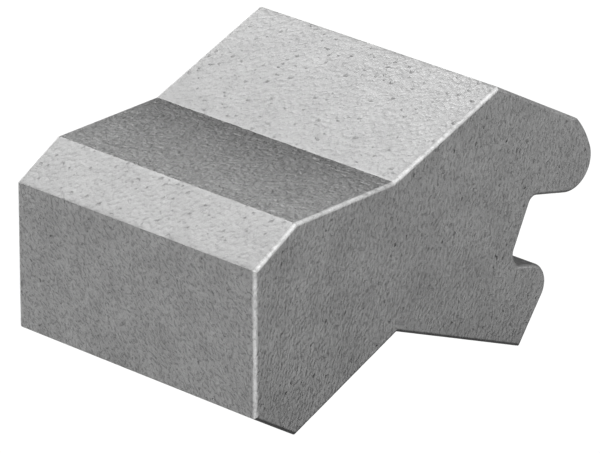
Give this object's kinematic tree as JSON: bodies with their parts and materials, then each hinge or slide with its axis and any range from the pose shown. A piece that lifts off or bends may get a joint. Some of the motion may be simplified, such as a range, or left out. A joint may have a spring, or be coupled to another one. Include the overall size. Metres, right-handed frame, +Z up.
{
  "type": "interlocking concrete wall block",
  "caption": "Precast concrete barrier and wall block with a sloped lip, a stacking seat, a slotted rounded back and a cast-in reinforcing cage; stacks by nesting on the block below.",
  "frame": {"origin": "on the ground, under the middle of the block's box", "axes": "+X from the front face to the rounded noses at the back, +Y along the block, +Z up"},
  "size_m": [1.4114, 1, 0.853],
  "materials": {
    "concrete": "cast concrete, fine blowholes and sand texture, matt",
    "link_steel": "hot rolled, lightly rusted",
    "bar_steel": "hot rolled, lightly rusted",
    "tie_wire_steel": "black annealed",
    "spacer_plastic": "moulded, matt"
  },
  "bodies": {
    "root": {"concrete_body": "concrete", "front_link_1": "link_steel", "front_link_2": "link_steel", "front_link_3": "link_steel", "front_link_4": "link_steel", "front_link_5": "link_steel", "front_link_6": "link_steel", "rear_link_1": "link_steel", "rear_link_2": "link_steel", "rear_link_3": "link_steel", "rear_link_4": "link_steel", "rear_link_5": "link_steel", "rear_link_6": "link_steel", "nose_tie_bar_1": "link_steel", "nose_tie_bar_2": "link_steel", "nose_tie_bar_3": "link_steel", "nose_tie_bar_4": "link_steel", "nose_tie_bar_5": "link_steel", "nose_tie_bar_6": "link_steel", "heel_tie_bar_1": "link_steel", "heel_tie_bar_2": "link_steel", "heel_tie_bar_3": "link_steel", "heel_tie_bar_4": "link_steel", "heel_tie_bar_5": "link_steel", "heel_tie_bar_6": "link_steel", "bar_lip_front": "bar_steel", "bar_lip_back": "bar_steel", "bar_ledge_back": "bar_steel", "bar_notch_top": "bar_steel", "bar_toe": "bar_steel", "bar_front_foot": "bar_steel", "bar_crest": "bar_steel", "bar_back_slope": "bar_steel", "bar_heel_seat": "bar_steel", "bar_notch_front": "bar_steel", "bar_seat_foot": "bar_steel", "bar_nose_top": "bar_steel", "bar_nose_foot": "bar_steel", "bar_tail_nose": "bar_steel", "bar_heel": "bar_steel", "tie_wires": "tie_wire_steel", "spacer_front_1": "spacer_plastic", "spacer_front_2": "spacer_plastic", "spacer_seat_1": "spacer_plastic", "spacer_seat_2": "spacer_plastic", "spacer_notch_1": "spacer_plastic", "spacer_notch_2": "spacer_plastic", "spacer_heel_1": "spacer_plastic", "spacer_heel_2": "spacer_plastic"}
  },
  "joints": []
}
